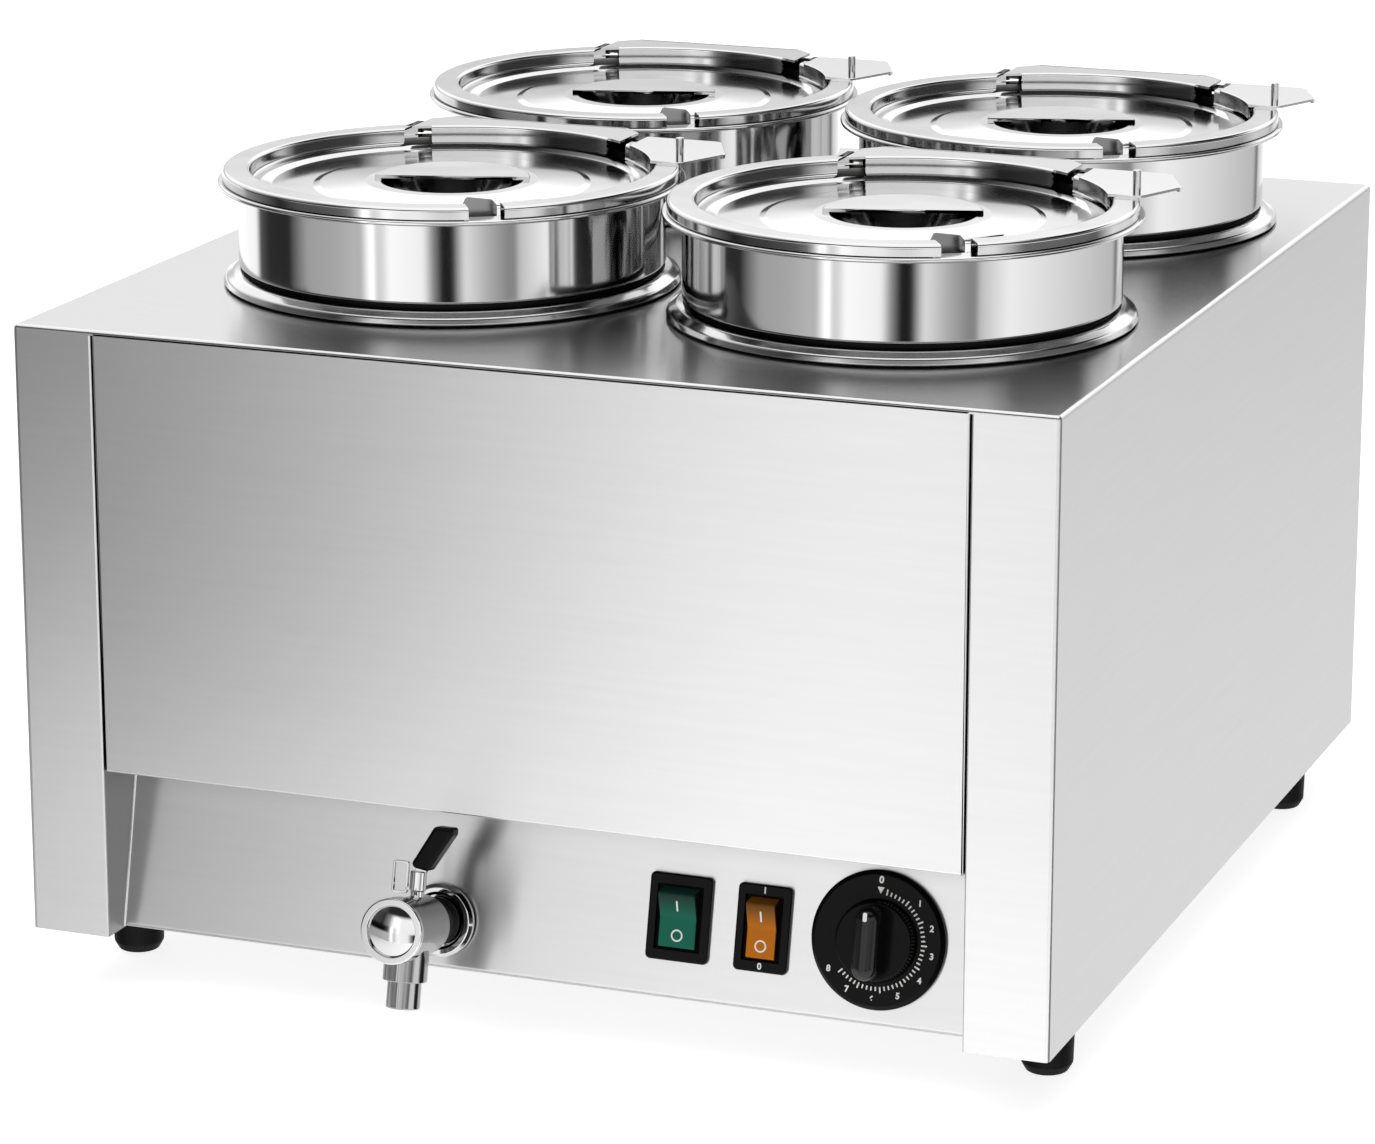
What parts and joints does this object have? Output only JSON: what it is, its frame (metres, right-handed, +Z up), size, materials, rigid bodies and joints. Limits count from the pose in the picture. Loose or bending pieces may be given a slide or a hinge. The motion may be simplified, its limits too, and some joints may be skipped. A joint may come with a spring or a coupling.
{
  "type": "bain marie",
  "caption": "Counter-top bain marie: a folded steel casing over a heated water tank, round lift-out pots with hinged lids, a drain tap, rocker switches and a thermostat dial.",
  "frame": {"origin": "on the ground, at the middle of the overall plan", "axes": "+Z up, +X to the right seen from the front, the front with the controls faces -Y"},
  "size_m": [0.515, 0.6197, 0.3982],
  "materials": {
    "casing_steel": "brushed stainless sheet",
    "tank_steel": "mill finish stainless sheet",
    "collar_steel": "polished stainless ring",
    "fastener_steel": "plain steel",
    "element_steel": "heat-dulled steel",
    "pot_steel": "mirror-polished stainless",
    "tap_chrome": "bright chrome plate",
    "tap_brass": "plain brass",
    "bulb_copper": "copper tube",
    "black_rubber": "matt black rubber",
    "black_gloss_plastic": "glossy black moulding",
    "black_matte_plastic": "matt black moulding",
    "green_lens": "translucent green moulding",
    "amber_lens": "translucent amber moulding",
    "terminal_plastic": "cream ceramic-filled plastic"
  },
  "bodies": {
    "casing": {"left_side_panel": "casing_steel", "right_side_panel": "casing_steel", "front_panel": "casing_steel", "control_panel": "casing_steel", "back_panel": "casing_steel", "casing_screws": "fastener_steel", "top_deck": "casing_steel", "base_plate": "casing_steel", "rubber_feet": "black_rubber", "foot_screws": "fastener_steel", "well_collars": "collar_steel", "water_tank": "tank_steel", "heating_element": "element_steel", "element_clamps": "tank_steel", "safety_cutout": "element_steel", "drain_pipe": "tap_brass", "tap_gasket": "black_rubber", "tap_flange": "tap_chrome", "tap_lock_nut": "tap_brass", "tap_body": "tap_chrome", "tap_face_cap": "tap_chrome", "tap_nozzle": "tap_chrome", "power_switch_bezel": "black_gloss_plastic", "heat_switch_bezel": "black_gloss_plastic", "dial_plate": "black_gloss_plastic", "thermostat_body": "black_matte_plastic", "thermostat_bulb": "bulb_copper", "cable_gland": "black_matte_plastic", "gland_lock_nut": "black_matte_plastic", "terminal_block": "terminal_plastic"},
    "front_left_pot": {"pot_front_left": "pot_steel", "hinge_saddle_front_left": "pot_steel", "hinge_pin_front_left": "pot_steel"},
    "front_left_lid": {"lid_front_left": "pot_steel", "lid_grip_front_left": "pot_steel", "lid_lug_front_left": "pot_steel"},
    "front_right_pot": {"pot_front_right": "pot_steel", "hinge_saddle_front_right": "pot_steel", "hinge_pin_front_right": "pot_steel"},
    "front_right_lid": {"lid_front_right": "pot_steel", "lid_grip_front_right": "pot_steel", "lid_lug_front_right": "pot_steel"},
    "rear_left_pot": {"pot_rear_left": "pot_steel", "hinge_saddle_rear_left": "pot_steel", "hinge_pin_rear_left": "pot_steel"},
    "rear_left_lid": {"lid_rear_left": "pot_steel", "lid_grip_rear_left": "pot_steel", "lid_lug_rear_left": "pot_steel"},
    "rear_right_pot": {"pot_rear_right": "pot_steel", "hinge_saddle_rear_right": "pot_steel", "hinge_pin_rear_right": "pot_steel"},
    "rear_right_lid": {"lid_rear_right": "pot_steel", "lid_grip_rear_right": "pot_steel", "lid_lug_rear_right": "pot_steel"},
    "tap_handle": {"tap_lever": "tap_chrome", "tap_grip": "black_gloss_plastic"},
    "power_switch_rocker": {"power_rocker": "green_lens"},
    "heat_switch_rocker": {"heat_rocker": "amber_lens"},
    "dial": {"thermostat_knob": "black_gloss_plastic", "thermostat_shaft": "fastener_steel"}
  },
  "joints": [
    {"name": "front_left_pot_lift", "type": "slide", "parent": "casing", "child": "front_left_pot", "axis": [0, 0, 1], "range_m": [0, 0.2]},
    {"name": "front_left_lid_hinge", "type": "hinge", "parent": "front_left_pot", "child": "front_left_lid", "pos_m": [-0.1044, -0.00056, 0.384], "axis": [-1, 0, 0], "range_deg": [0, 95]},
    {"name": "front_right_pot_lift", "type": "slide", "parent": "casing", "child": "front_right_pot", "axis": [0, 0, 1], "range_m": [0, 0.2]},
    {"name": "front_right_lid_hinge", "type": "hinge", "parent": "front_right_pot", "child": "front_right_lid", "pos_m": [0.1272, -0.00056, 0.384], "axis": [-1, 0, 0], "range_deg": [0, 95]},
    {"name": "rear_left_pot_lift", "type": "slide", "parent": "casing", "child": "rear_left_pot", "axis": [0, 0, 1], "range_m": [0, 0.2]},
    {"name": "rear_left_lid_hinge", "type": "hinge", "parent": "rear_left_pot", "child": "rear_left_lid", "pos_m": [-0.1044, 0.25374, 0.384], "axis": [-1, 0, 0], "range_deg": [0, 95]},
    {"name": "rear_right_pot_lift", "type": "slide", "parent": "casing", "child": "rear_right_pot", "axis": [0, 0, 1], "range_m": [0, 0.2]},
    {"name": "rear_right_lid_hinge", "type": "hinge", "parent": "rear_right_pot", "child": "rear_right_lid", "pos_m": [0.1272, 0.25374, 0.384], "axis": [-1, 0, 0], "range_deg": [0, 95]},
    {"name": "tap_lever_turn", "type": "hinge", "parent": "casing", "child": "tap_handle", "pos_m": [-0.05, -0.27922, 0.06006], "axis": [0, -0.2206, -0.9754], "range_deg": [0, 90]},
    {"name": "power_rocker_tilt", "type": "hinge", "parent": "casing", "child": "power_switch_rocker", "pos_m": [0.07, -0.24461, 0.068], "axis": [-1, 0, 0], "range_deg": [0, 24]},
    {"name": "heat_rocker_tilt", "type": "hinge", "parent": "casing", "child": "heat_switch_rocker", "pos_m": [0.1115, -0.24461, 0.068], "axis": [-1, 0, 0], "range_deg": [0, 24]},
    {"name": "thermostat_dial_turn", "type": "hinge", "parent": "casing", "child": "dial", "pos_m": [0.168, -0.24427, 0.0695], "axis": [0, 0.9754, -0.2206], "range_deg": [0, 240]}
  ]
}
